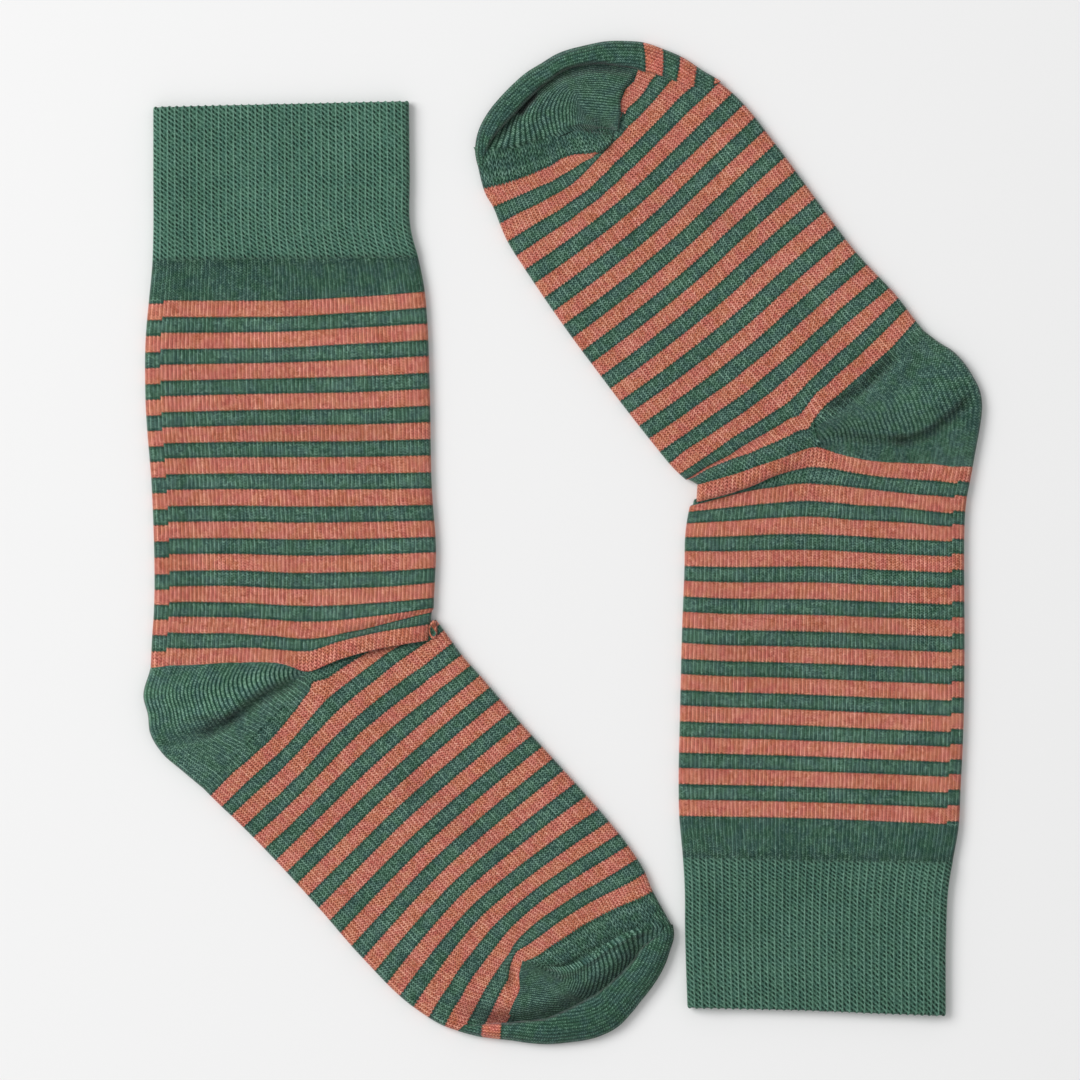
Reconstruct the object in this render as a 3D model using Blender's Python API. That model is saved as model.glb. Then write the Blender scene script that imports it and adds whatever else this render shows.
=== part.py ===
"""A pair of striped crew socks, laid flat side by side on a table.

Each sock is a knitted tube pressed flat on its side, so that its upper layer lies on its lower one.
It has five knitted pieces: a ribbed cuff, a leg, a heel pocket, a foot and a toe pocket.
Every piece is a cloth wall, hollow inside and open where the next piece goes on.

A sock is drawn in its own frame, in millimetres, with the gore point of the heel at the origin,
the leg running up +Y and the front of the ankle towards +X. The foot leaves at FOOT_ANGLE to the leg.
Courses of knitting are counted in stripe repeats from the first coral stripe of the leg.
A place across a piece is a share of its width, from 0 at its back or sole edge to 1 at its front edge.
"""

import math

import bmesh
import bpy
from mathutils import Matrix, Vector

MM = 0.001

# The cloth
WALL = 1.2  # one layer of plain knit, with its loops
CUFF_WALL = 1.6  # the cuff is knitted double and turned over
SLIT = 0.8  # air left between the two layers
SEAM = 0.3  # between neighbouring pieces
TUBE_WIDTH = 95.0  # the leg and the foot, pressed flat
CUFF_WIDTH = 88.0
TOE_WIDTH = 74.0
RIB_RISE = 0.6  # ribs stand this far out of the cuff
RIBS = 35  # ribs across the side of a cuff that shows
RIB_STEPS = 3  # points across one rib

# Stations along the knitting, in stripe repeats
STRIPE_PITCH = 10.7  # one coral stripe and one green one
CUFF_TOP = -6.25
CUFF_END = -1.26
LEG_END = 11.5  # lower edge of the last coral stripe, where heel and foot begin
FOOT_END = 24.0  # the linked seam of the toe

FOOT_ANGLE = math.radians(45.57)  # from straight down to the way the foot points

# How finely the pieces are divided
CUFF_ROWS = 3
HEEL_ROWS = 10
TOE_ROWS = 8
ACROSS = 12  # steps across a tube between its rounded edges
GORE_COLUMN = 10  # the column of points that runs down to the gore point

LEG_COLUMNS = ("stripe", "back_x", "back_y", "middle_y", "front_x", "front_y")
LEFT_LEG = (
    (-6.25, -51.7, 191.6, 192.8, 35.2, 193.6),
    (-4.00, -51.7, 167.5, 168.5, 35.5, 169.0),
    (-2.20, -51.7, 149.0, 149.6, 35.9, 150.0),
    (-1.26, -52.0, 139.1, 139.8, 38.4, 140.4),
    (0.00, -53.2, 125.1, 126.2, 40.6, 128.5),
    (3.00, -54.4, 92.5, 94.5, 42.3, 95.9),
    (6.00, -52.2, 60.9, 61.9, 43.0, 62.2),
    (8.00, -51.4, 38.8, 39.8, 44.4, 40.5),
    (10.00, -51.6, 17.7, 17.0, 43.6, 20.6),
    (11.50, -52.6, 1.4, 2.2, 42.2, 10.5),
)
RIGHT_LEG = (
    (-6.25, -44.2, 194.4, 192.6, 43.6, 191.7),
    (-4.00, -44.3, 168.5, 168.0, 44.4, 167.5),
    (-2.20, -45.2, 150.5, 150.0, 44.6, 149.5),
    (-1.26, -46.6, 142.0, 141.2, 45.2, 140.2),
    (0.00, -48.7, 128.9, 128.0, 46.4, 126.8),
    (3.00, -50.2, 97.9, 96.6, 46.2, 94.5),
    (6.00, -50.6, 65.6, 64.6, 45.4, 62.9),
    (8.00, -50.5, 43.9, 42.2, 44.6, 41.8),
    (10.00, -50.8, 23.5, 20.6, 43.2, 24.4),
    (11.50, -53.4, 7.5, 2.6, 41.0, 15.5),
)

FOOT_COLUMNS = (
    "stripe",
    "along",  # how far this course has got along the foot, in line with the gore point
    "sole_across",
    "instep_across",
    "sole_lead",  # how much further it has got at the sole edge
    "instep_lead",
    "instep_power",  # how sharply that lead comes in
)
LEFT_FOOT = (
    (11.50, 3.0, -52.6, 37.4, 1.2, 19.2, 1.5),
    (12.00, 7.0, -52.6, 39.4, 0.6, 17.0, 1.5),
    (13.00, 17.0, -52.3, 42.4, 0.3, 11.6, 1.5),
    (15.00, 38.8, -52.2, 42.0, 0.0, 3.7, 1.5),
    (17.00, 60.0, -53.0, 40.0, 0.5, 3.9, 1.5),
    (19.00, 81.1, -54.3, 39.2, 2.2, 4.3, 1.5),
    (21.00, 101.3, -53.6, 38.0, 5.8, 7.3, 1.5),
    (22.00, 111.0, -50.4, 36.9, 8.4, 8.1, 1.5),
    (23.00, 118.3, -44.4, 34.6, 12.9, 13.3, 1.3),
    (24.00, 122.6, -41.8, 29.8, 12.0, 24.4, 1.0),
)
RIGHT_FOOT = (
    (11.50, 1.4, -53.0, 40.4, 0.4, 17.6, 1.5),
    (12.00, 5.4, -53.4, 40.9, 0.2, 15.0, 1.5),
    (13.00, 16.7, -54.6, 40.8, -1.0, 8.9, 1.5),
    (15.00, 39.1, -55.2, 38.8, -2.0, 7.5, 1.5),
    (17.00, 61.9, -58.2, 36.2, -2.0, 5.8, 1.5),
    (19.00, 83.6, -61.4, 33.2, -1.0, 5.5, 1.5),
    (21.00, 105.2, -63.1, 29.2, 0.0, 6.4, 1.5),
    (22.00, 115.6, -61.9, 26.8, 1.0, 7.3, 1.5),
    (23.00, 123.0, -59.2, 22.6, 5.0, 13.0, 1.3),
    (24.00, 124.0, -55.2, 13.6, 12.0, 26.6, 1.0),
)

# The outer edge of the heel, from the leg to the foot: turn about the gore point in degrees, and reach
HEEL_COLUMNS = ("turn", "reach")
LEFT_HEEL = (
    (0, 52.6),
    (4, 53.5),
    (12, 56.0),
    (19, 55.8),
    (25, 57.0),
    (34, 55.2),
    (43, 53.2),
    (51, 52.8),
)
RIGHT_HEEL = (
    (0, 53.9),
    (11, 55.5),
    (20, 57.3),
    (27, 58.3),
    (36, 57.5),
    (46, 55.0),
    (56, 53.3),
)

# Soft folds at the front of the ankle: the stripe they follow, their reach in stripes, the share across at
# which they begin and are full, and their height. "hollow" lifts the whole wall, "thick" only its outside.
FOLD_COLUMNS = ("stripe", "reach", "begins", "full", "hollow", "thick")
LEFT_LEG_FOLDS = (
    (11.45, 0.75, 0.52, 0.72, 1.7, 1.2),
    (9.90, 0.55, 0.62, 0.92, 0.3, 0.6),
)
RIGHT_LEG_FOLDS = (
    (11.50, 0.60, 0.52, 0.74, 0.8, 2.4),
    (9.40, 0.70, 0.60, 0.90, 0.3, 0.4),
)
LEFT_FOOT_FOLDS = ((14.20, 1.10, 0.55, 0.85, 0.5, 0.2),)
RIGHT_FOOT_FOLDS = (
    (11.50, 0.60, 0.52, 0.74, 0.8, 2.4),
    (13.00, 0.55, 0.50, 0.80, 0.3, 0.7),
)
EDGE_SWELL = 0.7  # the knitting stays fuller beside the folded edges than in the middle
EDGE_SWELL_AT = 7.0  # how far in from the edge it is fullest

HEEL_SWELL = 2.2  # the pocket of the heel doesn't lie quite flat
GORE_RISE = 0.7  # the gore line stands up where the two halves of the heel meet
GORE_OPENING = 1.4  # the heel's courses stop this far from one another at the gore point

# The toe pocket: a rolled rim, a groove inside it, and the linked seam
TOE_RIM = {"in": 3.6, "reach": 3.2, "rise": 2.0}
TOE_GROOVE = {"in": 8.2, "reach": 1.6, "rise": -0.5}
TOE_SEAM = {"at": 0.06, "reach": 0.09, "rise": 1.1}

SOCKS = {
    "left": {
        "place": (-87.36, -43.30),
        "turn": 0,
        "leg": LEFT_LEG,
        "foot": LEFT_FOOT,
        "heel": LEFT_HEEL,
        "leg_folds": LEFT_LEG_FOLDS,
        "foot_folds": LEFT_FOOT_FOLDS,
        "vertex": -15.0,  # where across the foot its courses lag most
        "toe": {"along": 125.0, "across": -2.6, "length": 35.6, "half_width": 39.4, "lean": 0.10},
    },
    "right": {
        "place": (86.04, 34.30),
        "turn": 180,
        "leg": RIGHT_LEG,
        "foot": RIGHT_FOOT,
        "heel": RIGHT_HEEL,
        "leg_folds": RIGHT_LEG_FOLDS,
        "foot_folds": RIGHT_FOOT_FOLDS,
        "vertex": -21.0,
        "toe": {"along": 125.0, "across": -18.0, "length": 35.2, "half_width": 39.6, "lean": 0.24},
    },
}

GREEN = (0.053, 0.150, 0.096)
CUFF_GREEN = (0.078, 0.195, 0.135)
CORAL = (0.560, 0.165, 0.100)


def ramp(x, low, high):
    """0 below low, 1 above high, and a smooth rise between them."""
    share = min(max((x - low) / (high - low), 0.0), 1.0)
    return share * share * (3 - 2 * share)


def bell(x):
    """A soft ridge of height 1 that has died away at 1 on either side."""
    return 0.5 + 0.5 * math.cos(math.pi * x) if abs(x) < 1 else 0.0


def mix(a, b, share):
    return a + (b - a) * share


def spread(start, end, steps):
    return [mix(start, end, i / steps) for i in range(steps + 1)]


def read(table, columns, name, at):
    """The named column of a table, read smoothly between its rows, which go by their first column."""
    column = columns.index(name)
    keys = [row[0] for row in table]
    values = [row[column] for row in table]
    last = len(keys) - 2
    i = min(max(sum(key <= at for key in keys) - 1, 0), last)

    def slope(j):
        before, after = max(j - 1, 0), min(j + 1, last + 1)
        return (values[after] - values[before]) / (keys[after] - keys[before])

    span = keys[i + 1] - keys[i]
    x = (at - keys[i]) / span
    rise = values[i + 1] - values[i]
    start, end = slope(i) * span, slope(i + 1) * span
    return values[i] + x * (start + x * (3 * rise - 2 * start - end + x * (start + end - 2 * rise)))


def edge_steps(width, wall, steps):
    """Shares of the width at which the points across a flattened piece stand, closer at its round edges."""
    rim = [share * (wall + SLIT / 2) / width for share in (0.0, 0.12, 0.42, 1.0)]
    inside = [mix(rim[-1], 1 - rim[-1], i / steps) for i in range(1, steps)]
    return rim + inside + [1 - share for share in reversed(rim)]


TUBE = edge_steps(TUBE_WIDTH, WALL, ACROSS)
GORE = TUBE[GORE_COLUMN]


def on_foot(along, across):
    """A place on the foot, in the frame of the sock."""
    sine, cosine = math.sin(FOOT_ANGLE), math.cos(FOOT_ANGLE)
    return Vector((along * cosine + across * sine, -along * sine + across * cosine))


def leg_place(sock, stripe, share):
    """On the course at this stripe, this share of the way from the back edge to the front edge."""

    def at(name):
        return read(sock["leg"], LEG_COLUMNS, name, stripe)

    back, middle, front = at("back_y"), at("middle_y"), at("front_y")
    y = back * (2 * share - 1) * (share - 1) + middle * 4 * share * (1 - share) + front * share * (2 * share - 1)
    return Vector((mix(at("back_x"), at("front_x"), share), y))


def foot_spot(sock, stripe, share):
    """(along, across) on the course at this stripe, this share of the way from the sole to the instep."""

    def at(name):
        return read(sock["foot"], FOOT_COLUMNS, name, stripe)

    vertex = sock["vertex"]
    across = mix(at("sole_across"), at("instep_across"), share)
    if across < vertex:
        out = (vertex - across) / (vertex - at("sole_across"))
        return Vector((at("along") + at("sole_lead") * out**1.5, across))
    out = (across - vertex) / (at("instep_across") - vertex)
    return Vector((at("along") + at("instep_lead") * out ** at("instep_power"), across))


def foot_place(sock, stripe, share):
    """The same in the frame of the sock. In front of the gore the first courses go by the leg's last one."""
    place = on_foot(*foot_spot(sock, stripe, share))
    gap = SEAM + GORE_OPENING * (1 - ramp(share, GORE, GORE + 0.09))
    ankle = leg_place(sock, LEG_END, share) - Vector((0, gap))
    pull = ramp(share, GORE - 0.25, GORE) * (1 - ramp(stripe, LEG_END, LEG_END + 2.5))
    return place + pull * (ankle - on_foot(*foot_spot(sock, LEG_END, share)))


def folds(table, stripe, share):
    """How far soft folds lift the whole wall and its outside here."""
    hollow = thick = 0.0
    for row in table:
        fold = dict(zip(FOLD_COLUMNS, row))
        ridge = bell((stripe - fold["stripe"]) / fold["reach"]) * ramp(share, fold["begins"], fold["full"])
        hollow += fold["hollow"] * ridge
        thick += fold["thick"] * ridge
    return hollow, thick


def edge_swell(distance):
    return EDGE_SWELL * bell((distance - EDGE_SWELL_AT) / 9.0)


def layer_height(side, distance, wall, skin, hollow, thick):
    """Height above the table of a skin of the flattened tube.

    side is 1 on the upper layer, -1 on the lower one and 0 on the folded edge between them.
    distance is how far in from that edge the point lies, and skin is "outer" or "inner".
    """
    middle = wall + SLIT / 2
    radius = middle if skin == "outer" else SLIT / 2
    depth = distance if skin == "outer" else distance - wall
    share = min(max(depth / radius, 0.0), 1.0)
    rise = math.sqrt(1 - (1 - share) ** 2)
    if side <= 0:
        return middle + side * radius * rise
    lift = hollow + (thick if skin == "outer" else 0.0)
    return middle + (radius + lift) * rise


def tube_loop(top, bottom):
    """(share, side) of each point round a flattened tube: over the upper layer and back under the lower."""
    over = [(share, 1 if 0 < share < 1 else 0) for share in top]
    return over + [(share, -1) for share in reversed(bottom[1:-1])]


def pocket_loop(shares):
    """(share, side) of each point of a pocket, from its open side over the folded edge at 0 and back under."""
    over = [(share, 1 if share > 0 else 0) for share in reversed(shares)]
    return over + [(share, -1) for share in shares[1:]]


def knit_material(name, color, roughness):
    material = bpy.data.materials.new(f"{name}_knit")
    material.use_nodes = True
    shader = material.node_tree.nodes["Principled BSDF"]
    shader.inputs["Base Color"].default_value = (*color, 1)
    shader.inputs["Roughness"].default_value = roughness
    shader.inputs["Metallic"].default_value = 0
    return material


def cloth_wall(name, outer, inner, ring, open_ends, color, roughness):
    """A closed wall between two skins of points.

    outer and inner hold rows of points, as many in each. ring joins the ends of every row.
    open_ends says which of the first (0) and last (-1) rows are openings, whose rims are walled.
    """
    mesh = bmesh.new()
    walls = [[[mesh.verts.new(point) for point in row] for row in skin] for skin in (outer, inner)]
    count = len(outer[0])
    steps = range(count if ring else count - 1)
    for wall in walls:
        for row, after in zip(wall, wall[1:]):
            for i in steps:
                mesh.faces.new((row[i], row[(i + 1) % count], after[(i + 1) % count], after[i]))
    for end in open_ends:
        out, within = walls[0][end], walls[1][end]
        for i in steps:
            mesh.faces.new((out[i], out[(i + 1) % count], within[(i + 1) % count], within[i]))
    for side in () if ring else (0, -1):
        for out, within in zip(zip(walls[0], walls[0][1:]), zip(walls[1], walls[1][1:])):
            mesh.faces.new((out[0][side], out[1][side], within[1][side], within[0][side]))
    bmesh.ops.remove_doubles(mesh, verts=mesh.verts, dist=1e-6)
    bmesh.ops.dissolve_degenerate(mesh, edges=mesh.edges, dist=1e-6)
    bmesh.ops.recalc_face_normals(mesh, faces=mesh.faces)
    data = bpy.data.meshes.new(name)
    mesh.to_mesh(data)
    mesh.free()
    data.shade_smooth()
    data.set_sharp_from_angle(angle=math.radians(50))
    data.materials.append(knit_material(name, color, roughness))
    piece = bpy.data.objects.new(name, data)
    bpy.context.scene.collection.objects.link(piece)
    return piece


def skin_rows(stations, loop, width, wall, place, lift, open_at=None):
    """Rows of outer and of inner points, in metres, for a piece pressed flat.

    place(station, share) gives x and y. lift(station, share) gives what folds add to the height.
    open_at is the share at which a pocket is open, with its only folded edge at share 0.
    """
    inset = (wall + 0.15) / width
    found = []
    for skin in ("outer", "inner"):
        far = open_at or 1.0
        near_end, far_end = (inset, far if open_at else far - inset) if skin == "inner" else (0.0, far)
        rows = []
        for station in stations:
            row = []
            for share, side in loop:
                here = mix(near_end, far_end, share / far)
                distance = (here if open_at else min(here, 1 - here)) * width
                z = layer_height(side, distance, wall, skin, *lift(station, here))
                row.append(Vector((*place(station, here), z)) * MM)
            rows.append(row)
        found.append(rows)
    return found


def cuff(sock, name):
    """The double rib at the top: ribs stand up on the side that shows, and the underside is flat."""
    rim = edge_steps(CUFF_WIDTH, CUFF_WALL, ACROSS // 2)
    first, last = rim[3], rim[-4]
    top = rim[:3] + spread(first, last, RIBS * RIB_STEPS) + rim[-3:]

    def lift(stripe, share):
        over_ribs = min(max((share - first) / (last - first), 0), 1)
        rib = 0.5 - 0.5 * math.cos(2 * math.pi * RIBS * over_ribs)
        return edge_swell(min(share, 1 - share) * CUFF_WIDTH), RIB_RISE * rib

    def place(stripe, share):
        return leg_place(sock, stripe, share)

    stations = spread(CUFF_TOP, CUFF_END - SEAM / STRIPE_PITCH, CUFF_ROWS)
    rows = skin_rows(stations, tube_loop(top, rim), CUFF_WIDTH, CUFF_WALL, place, lift)
    return cloth_wall(name, *rows, True, (0, -1), CUFF_GREEN, 0.85)


def leg(sock, name):
    """The striped tube from the cuff to the ankle, raised in a soft fold at the front of its end."""

    def lift(stripe, share):
        hollow, thick = folds(sock["leg_folds"], stripe, share)
        return hollow + edge_swell(min(share, 1 - share) * TUBE_WIDTH), thick

    def place(stripe, share):
        return leg_place(sock, stripe, share)

    stations = spread(CUFF_END, 8.9, 6) + spread(9.4, LEG_END, 6)
    rows = skin_rows(stations, tube_loop(TUBE, TUBE), TUBE_WIDTH, WALL, place, lift)
    return cloth_wall(name, *rows, True, (0, -1), CORAL, 0.8)


def foot(sock, name):
    """The striped tube from the ankle to the toe seam."""

    def lift(stripe, share):
        hollow, thick = folds(sock["foot_folds"], stripe, share)
        return hollow + edge_swell(min(share, 1 - share) * TUBE_WIDTH), thick

    def place(stripe, share):
        return foot_place(sock, stripe, share)

    stations = spread(LEG_END, 14.0, 5) + spread(15.5, FOOT_END, 6)
    rows = skin_rows(stations, tube_loop(TUBE, TUBE), TUBE_WIDTH, WALL, place, lift)
    return cloth_wall(name, *rows, True, (0, -1), CORAL, 0.8)


def patch(near, far, left, right, down, share):
    """A Coons patch between four edges, each a function of the share of the way along it."""
    corners = near(0).lerp(near(1), share).lerp(far(0).lerp(far(1), share), down)
    return near(share).lerp(far(share), down) + left(down).lerp(right(down), share) - corners


def heel(sock, name):
    """The heel pocket: its courses fan out from the gore point between the leg and the foot."""
    table = sock["heel"]
    start = leg_place(sock, LEG_END, 0)
    start_angle = math.atan2(start.y, start.x)

    def leg_side(part):
        return leg_place(sock, LEG_END, part * GORE) - Vector((0, SEAM))

    def foot_side(part):
        return foot_place(sock, LEG_END, part * GORE) - on_foot(SEAM, 0)

    def table_edge(turn):
        degrees = turn * table[-1][0]
        angle = start_angle + math.radians(degrees)
        return read(table, HEEL_COLUMNS, "reach", degrees) * Vector((math.cos(angle), math.sin(angle)))

    def back_edge(turn):
        missed = (leg_side(0) - table_edge(0)).lerp(foot_side(0) - table_edge(1), turn)
        return table_edge(turn) + missed

    def gore_edge(turn):
        return leg_side(1).lerp(foot_side(1), turn)

    def place(turn, share):
        return patch(leg_side, foot_side, back_edge, gore_edge, turn, share / GORE)

    def lift(turn, share):
        part = share / GORE
        swell = HEEL_SWELL * math.sin(math.pi * turn) * bell((part - 0.28) / 0.6)
        gore_line = GORE_RISE * bell((turn - 0.5) / 0.16) * ramp(1 - part, 0.05, 0.4)
        return swell + edge_swell(share * TUBE_WIDTH), gore_line

    loop = pocket_loop(TUBE[: GORE_COLUMN + 1])
    rows = skin_rows(spread(0, 1, HEEL_ROWS), loop, TUBE_WIDTH, WALL, place, lift, open_at=GORE)
    return cloth_wall(name, *rows, False, (0, -1), GREEN, 0.85)


def toe_outline(toe_form, turn, inset):
    """The rounded end of the toe, an ellipse that leans, at this turn from straight ahead."""
    along = (toe_form["length"] - inset) * math.cos(turn)
    across = (toe_form["half_width"] - inset) * math.sin(turn)
    return Vector((toe_form["along"] + along, toe_form["across"] + across + toe_form["lean"] * along))


def toe_turn(toe_form, spot):
    """The turn and the share of the way out to the outline of the toe at which a place lies."""
    ahead = spot.x - toe_form["along"]
    aside = spot.y - toe_form["across"] - toe_form["lean"] * ahead
    ahead, aside = ahead / toe_form["length"], aside / toe_form["half_width"]
    return math.atan2(aside, ahead), math.hypot(ahead, aside)


def toe_spot(sock, down, share, inset):
    """(along, across) in the toe, from its seam at 0 down to its rounded end at 1."""
    toe_form = sock["toe"]

    def near(part):
        part = mix(inset / TOE_WIDTH, 1 - inset / TOE_WIDTH, part)
        return foot_spot(sock, FOOT_END, part) + Vector((SEAM, 0))

    corners = [toe_turn(toe_form, foot_spot(sock, FOOT_END, part))[0] for part in (0, 1)]
    shoulders = [mix(*corners, 0.27), mix(*corners, 0.73)]

    def far(part):
        return toe_outline(toe_form, mix(*shoulders, part), inset)

    def side(part, along):
        missed = near(part) - toe_outline(toe_form, corners[part], inset)
        return toe_outline(toe_form, mix(corners[part], shoulders[part], along), inset) + (1 - along) * missed

    return patch(near, far, lambda along: side(0, along), lambda along: side(1, along), down, share)


def toe_lift(distance, down):
    """The rolled rim inside the toe's outline, the groove beside it and the ridge of its seam."""
    away = ramp(down, 0.02, 0.2)
    rim = away * TOE_RIM["rise"] * bell((distance - TOE_RIM["in"]) / TOE_RIM["reach"])
    groove = away * TOE_GROOVE["rise"] * bell((distance - TOE_GROOVE["in"]) / TOE_GROOVE["reach"])
    seam = TOE_SEAM["rise"] * bell((down - TOE_SEAM["at"]) / TOE_SEAM["reach"])
    return 0.35 * rim, 0.65 * rim + groove + seam


def toe(sock, name):
    """The toe pocket, closed all round its end."""
    toe_form = sock["toe"]
    radius = (toe_form["length"] + toe_form["half_width"]) / 2
    found = []
    for skin, inset in (("outer", 0.0), ("inner", WALL + 0.15)):
        rows = []
        for down in spread(0, 1, TOE_ROWS):
            row = []
            for share, side in tube_loop(TUBE, TUBE):
                spot = toe_spot(sock, down, share, inset)
                from_side = min(share, 1 - share) * TOE_WIDTH
                from_outline = (1 - toe_turn(toe_form, spot)[1]) * radius - inset
                least = 0.25 * min(from_side, (1 - down) * radius)
                distance = inset + mix(from_side, max(from_outline, least), ramp(down, 0, 0.25))
                if down == 1:
                    distance, side = inset, 0
                z = layer_height(side, distance, WALL, skin, *toe_lift(distance, down))
                row.append(Vector((*on_foot(*spot), z)) * MM)
            rows.append(row)
        found.append(rows)
    return cloth_wall(name, *found, True, (0,), GREEN, 0.85)


def lay(piece, sock):
    """Puts a piece where its sock lies on the table."""
    x, y = sock["place"]
    turn = Matrix.Rotation(math.radians(sock["turn"]), 4, "Z")
    piece.matrix_world = Matrix.Translation((x * MM, y * MM, 0)) @ turn


for leftover in list(bpy.data.objects):
    bpy.data.objects.remove(leftover)

for side, sock in SOCKS.items():
    for make in (cuff, leg, heel, foot, toe):
        lay(make(sock, f"{side}_{make.__name__}"), sock)
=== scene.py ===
import math

import bmesh
import bpy
import numpy as np
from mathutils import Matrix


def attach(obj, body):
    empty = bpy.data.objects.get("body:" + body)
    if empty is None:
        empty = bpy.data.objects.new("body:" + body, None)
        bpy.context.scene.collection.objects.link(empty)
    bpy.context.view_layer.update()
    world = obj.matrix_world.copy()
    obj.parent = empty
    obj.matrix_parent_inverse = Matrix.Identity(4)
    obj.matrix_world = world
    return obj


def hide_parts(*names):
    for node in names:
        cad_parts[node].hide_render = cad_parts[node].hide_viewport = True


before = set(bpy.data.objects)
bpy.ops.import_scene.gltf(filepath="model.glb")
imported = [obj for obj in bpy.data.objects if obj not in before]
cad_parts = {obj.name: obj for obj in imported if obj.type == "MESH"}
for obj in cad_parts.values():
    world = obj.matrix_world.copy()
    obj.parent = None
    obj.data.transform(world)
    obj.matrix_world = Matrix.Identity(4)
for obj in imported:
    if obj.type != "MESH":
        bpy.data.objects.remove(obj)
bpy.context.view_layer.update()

# Each sock is laid out in millimetres in its own frame: the gore point of the heel is the origin,
# the leg runs up +Y and the front of the ankle is towards +X. Stripes are counted down the leg
# from the first coral one and go on along the foot. A place across a tube is a share of its width,
# 0 at the back or sole edge and 1 at the front or instep edge; below 0 it is on the underside.
footAngle = math.radians(45.57)
stripePitch = 10.62
coursesPerStripe = 12
walesAcross = 70
goreShare = 0.555
tubeWidth = 95.0
layer = 1.6  # half the thickness of two layers of cloth
# the stripes at which one piece ends and the next begins
cuffTop, ribEnd, heelStripe, toeStripe = -6.25, -1.26, 11.5, 24

acrossKnots = (0, 0.28, 0.547, 0.69, 0.84, 1)  # where a course's height is given

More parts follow.
